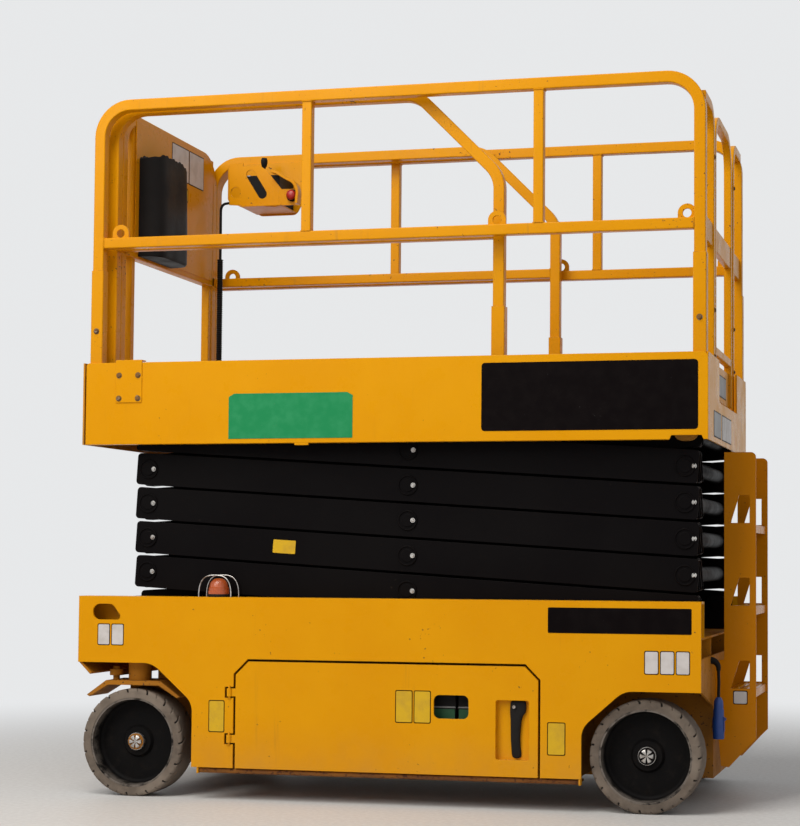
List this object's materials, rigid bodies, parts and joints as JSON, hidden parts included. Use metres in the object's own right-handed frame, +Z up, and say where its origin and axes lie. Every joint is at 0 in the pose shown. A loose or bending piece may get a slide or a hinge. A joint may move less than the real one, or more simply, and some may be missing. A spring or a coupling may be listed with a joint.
{
  "type": "slab scissor lift",
  "caption": "Electric slab scissor lift: steel chassis on four solid tyres, five crossed arm levels and a railed platform with a roll-out deck.",
  "frame": {"origin": "on the floor below the middle of the overall length and width", "axes": "+Z up, +X towards the ladder end, the steered wheels at the -X end"},
  "size_m": [2.385, 1.188, 2.5078],
  "materials": {
    "yellow_paint": "satin",
    "black_paint": "satin",
    "tyre_rubber": "matte",
    "black_plastic": "matte",
    "bare_steel": "satin",
    "amber_lens": "gloss",
    "battery_case": "matte"
  },
  "bodies": {
    "chassis": {"chassis_frame": "yellow_paint", "side_near": "yellow_paint", "side_far": "yellow_paint", "drive_hubs": "black_paint", "ladder": "yellow_paint", "battery_pack": "battery_case", "hydraulic_unit": "black_paint", "beacon": "amber_lens", "scissor_base": "yellow_paint"},
    "knuckle_near": {"knuckle_near": "yellow_paint"},
    "knuckle_far": {"knuckle_far": "yellow_paint"},
    "tie_rod": {"tie_rod": "yellow_paint"},
    "door_near": {"door_near": "yellow_paint", "latch_near": "black_plastic"},
    "door_far": {"door_far": "yellow_paint", "latch_far": "black_plastic"},
    "guard_near": {"pothole_guard_near": "yellow_paint"},
    "guard_far": {"pothole_guard_far": "yellow_paint"},
    "platform": {"platform_deck": "yellow_paint", "skirt_near": "yellow_paint", "skirt_far": "yellow_paint", "rear_sill": "yellow_paint", "rail_near": "yellow_paint", "rail_far": "yellow_paint", "rear_frame": "yellow_paint"},
    "extension": {"extension_deck": "yellow_paint", "extension_rail_near": "yellow_paint", "extension_rail_far": "yellow_paint", "front_frame": "yellow_paint", "front_panel": "yellow_paint", "document_box": "black_plastic", "station_bracket": "yellow_paint", "control_station": "black_plastic", "station_conduit": "black_plastic"},
    "gate": {"entry_gate": "yellow_paint"},
    "wheel_front_near": {"tyre_front_near": "tyre_rubber", "rim_front_near": "black_paint"},
    "wheel_front_far": {"tyre_front_far": "tyre_rubber", "rim_front_far": "black_paint"},
    "wheel_rear_near": {"tyre_rear_near": "tyre_rubber", "rim_rear_near": "black_paint"},
    "wheel_rear_far": {"tyre_rear_far": "tyre_rubber", "rim_rear_far": "black_paint"},
    "outer_1": {"outer_arms_1": "black_paint"},
    "inner_1": {"inner_arms_1": "black_paint", "base_rollers": "bare_steel"},
    "outer_2": {"outer_arms_2": "black_paint"},
    "inner_2": {"inner_arms_2": "black_paint"},
    "outer_3": {"outer_arms_3": "black_paint"},
    "inner_3": {"inner_arms_3": "black_paint"},
    "outer_4": {"outer_arms_4": "black_paint"},
    "inner_4": {"inner_arms_4": "black_paint"},
    "outer_5": {"outer_arms_5": "black_paint"},
    "inner_5": {"inner_arms_5": "black_paint"},
    "cylinder_barrel_1": {"cylinder_barrel_1": "black_paint"},
    "cylinder_rod_1": {"cylinder_rod_1": "bare_steel"},
    "cylinder_barrel_2": {"cylinder_barrel_2": "black_paint"},
    "cylinder_rod_2": {"cylinder_rod_2": "bare_steel"}
  },
  "joints": [
    {"name": "lift", "type": "hinge", "parent": "chassis", "child": "outer_1", "pos_m": [0.982, 0, 0.675], "axis": [0, 1, 0], "range_deg": [0, 63.49]},
    {"name": "pivot_front_1", "type": "hinge", "parent": "outer_1", "child": "inner_2", "pos_m": [-0.97012, 0, 0.79816], "axis": [0, 1, 0], "range_deg": [-126.98, 0]},
    {"name": "pivot_rear_2", "type": "hinge", "parent": "inner_2", "child": "outer_3", "pos_m": [0.982, 0, 0.92132], "axis": [0, 1, 0], "range_deg": [0, 126.98]},
    {"name": "pivot_front_3", "type": "hinge", "parent": "outer_3", "child": "inner_4", "pos_m": [-0.97012, 0, 1.04448], "axis": [0, 1, 0], "range_deg": [-126.98, 0]},
    {"name": "pivot_rear_4", "type": "hinge", "parent": "inner_4", "child": "outer_5", "pos_m": [0.982, 0, 1.16764], "axis": [0, 1, 0], "range_deg": [0, 126.98]},
    {"name": "pivot_middle_5", "type": "hinge", "parent": "outer_5", "child": "inner_5", "pos_m": [0.00594, 0, 1.22921], "axis": [0, 1, 0], "range_deg": [-126.98, 0]},
    {"name": "platform_pivot", "type": "hinge", "parent": "inner_5", "child": "platform", "pos_m": [0.982, 0, 1.29079], "axis": [0, 1, 0], "range_deg": [0, 63.49]},
    {"name": "pivot_middle_1", "type": "hinge", "parent": "outer_1", "child": "inner_1", "pos_m": [0.00594, 0, 0.73658], "axis": [0, 1, 0], "range_deg": [-126.98, 0]},
    {"name": "pivot_middle_2", "type": "hinge", "parent": "inner_2", "child": "outer_2", "pos_m": [0.00594, 0, 0.85974], "axis": [0, 1, 0], "range_deg": [0, 126.98]},
    {"name": "pivot_middle_3", "type": "hinge", "parent": "outer_3", "child": "inner_3", "pos_m": [0.00594, 0, 0.9829], "axis": [0, 1, 0], "range_deg": [-126.98, 0]},
    {"name": "pivot_middle_4", "type": "hinge", "parent": "inner_4", "child": "outer_4", "pos_m": [0.00594, 0, 1.10606], "axis": [0, 1, 0], "range_deg": [0, 126.98]},
    {"name": "barrel_1_pivot", "type": "hinge", "parent": "inner_1", "child": "cylinder_barrel_1", "pos_m": [0.40389, 0, 0.78173], "axis": [0, 1, 0], "range_deg": [0, 137.61]},
    {"name": "rod_1_slide", "type": "slide", "parent": "cylinder_barrel_1", "child": "cylinder_rod_1", "axis": [-0.9996, 0, 0.0288], "range_m": [0, 0.28346]},
    {"name": "barrel_2_pivot", "type": "hinge", "parent": "inner_3", "child": "cylinder_barrel_2", "pos_m": [0.40389, 0, 1.02804], "axis": [0, 1, 0], "range_deg": [0, 137.61]},
    {"name": "rod_2_slide", "type": "slide", "parent": "cylinder_barrel_2", "child": "cylinder_rod_2", "axis": [-0.9996, 0, 0.0288], "range_m": [0, 0.28346]},
    {"name": "deck_slide", "type": "slide", "parent": "platform", "child": "extension", "axis": [-1, 0, 0], "range_m": [0, 0.9]},
    {"name": "gate_swing", "type": "hinge", "parent": "platform", "child": "gate", "pos_m": [1.042, -0.261, 1.9848], "axis": [0, 0, 1], "range_deg": [0, 90]},
    {"name": "door_near_hinge", "type": "hinge", "parent": "chassis", "child": "door_near", "pos_m": [-0.612, -0.585, 0.377], "axis": [0, 0, -1], "range_deg": [0, 110]},
    {"name": "door_far_hinge", "type": "hinge", "parent": "chassis", "child": "door_far", "pos_m": [-0.612, 0.585, 0.377], "axis": [0, 0, 1], "range_deg": [0, 110]},
    {"name": "guard_near_fold", "type": "hinge", "parent": "chassis", "child": "guard_near", "pos_m": [0, -0.568, 0.102], "axis": [-1, 0, 0], "range_deg": [0, 90]},
    {"name": "guard_far_fold", "type": "hinge", "parent": "chassis", "child": "guard_far", "pos_m": [0, 0.568, 0.102], "axis": [1, 0, 0], "range_deg": [0, 90]},
    {"name": "steer_near", "type": "hinge", "parent": "chassis", "child": "knuckle_near", "pos_m": [-0.989, -0.4965, 0.435], "axis": [0, 0, 1], "range_deg": [-45, 45]},
    {"name": "steer_far", "type": "hinge", "parent": "chassis", "child": "knuckle_far", "pos_m": [-0.989, 0.4965, 0.435], "axis": [0, 0, 1], "range_deg": [-45, 45]},
    {"name": "tie_rod_pivot", "type": "hinge", "parent": "knuckle_near", "child": "tie_rod", "pos_m": [-1.081, -0.4965, 0.435], "axis": [0, 0, 1], "range_deg": [-45, 45]},
    {"name": "wheel_front_near_spin", "type": "hinge", "parent": "knuckle_near", "child": "wheel_front_near", "pos_m": [-0.989, -0.4965, 0.1905], "axis": [0, 1, 0], "continuous": true},
    {"name": "wheel_front_far_spin", "type": "hinge", "parent": "knuckle_far", "child": "wheel_front_far", "pos_m": [-0.989, 0.4965, 0.1905], "axis": [0, 1, 0], "continuous": true},
    {"name": "wheel_rear_near_spin", "type": "hinge", "parent": "chassis", "child": "wheel_rear_near", "pos_m": [0.859, -0.4965, 0.1905], "axis": [0, 1, 0], "continuous": true},
    {"name": "wheel_rear_far_spin", "type": "hinge", "parent": "chassis", "child": "wheel_rear_far", "pos_m": [0.859, 0.4965, 0.1905], "axis": [0, 1, 0], "continuous": true}
  ],
  "couplings": [
    {"joint": "pivot_front_1", "follows": "lift", "ratio": -2},
    {"joint": "pivot_rear_2", "follows": "lift", "ratio": 2},
    {"joint": "pivot_front_3", "follows": "lift", "ratio": -2},
    {"joint": "pivot_rear_4", "follows": "lift", "ratio": 2},
    {"joint": "pivot_middle_5", "follows": "lift", "ratio": -2},
    {"joint": "platform_pivot", "follows": "lift", "ratio": 1},
    {"joint": "pivot_middle_1", "follows": "lift", "ratio": -2},
    {"joint": "pivot_middle_2", "follows": "lift", "ratio": 2},
    {"joint": "pivot_middle_3", "follows": "lift", "ratio": -2},
    {"joint": "pivot_middle_4", "follows": "lift", "ratio": 2},
    {"joint": "barrel_1_pivot", "follows": "lift", "ratio": 2.1674},
    {"joint": "rod_1_slide", "follows": "lift", "m_per_rad": 0.25536},
    {"joint": "barrel_2_pivot", "follows": "lift", "ratio": 2.1674},
    {"joint": "rod_2_slide", "follows": "lift", "m_per_rad": 0.25536},
    {"joint": "steer_far", "follows": "steer_near", "ratio": 1},
    {"joint": "tie_rod_pivot", "follows": "steer_near", "ratio": -1}
  ]
}
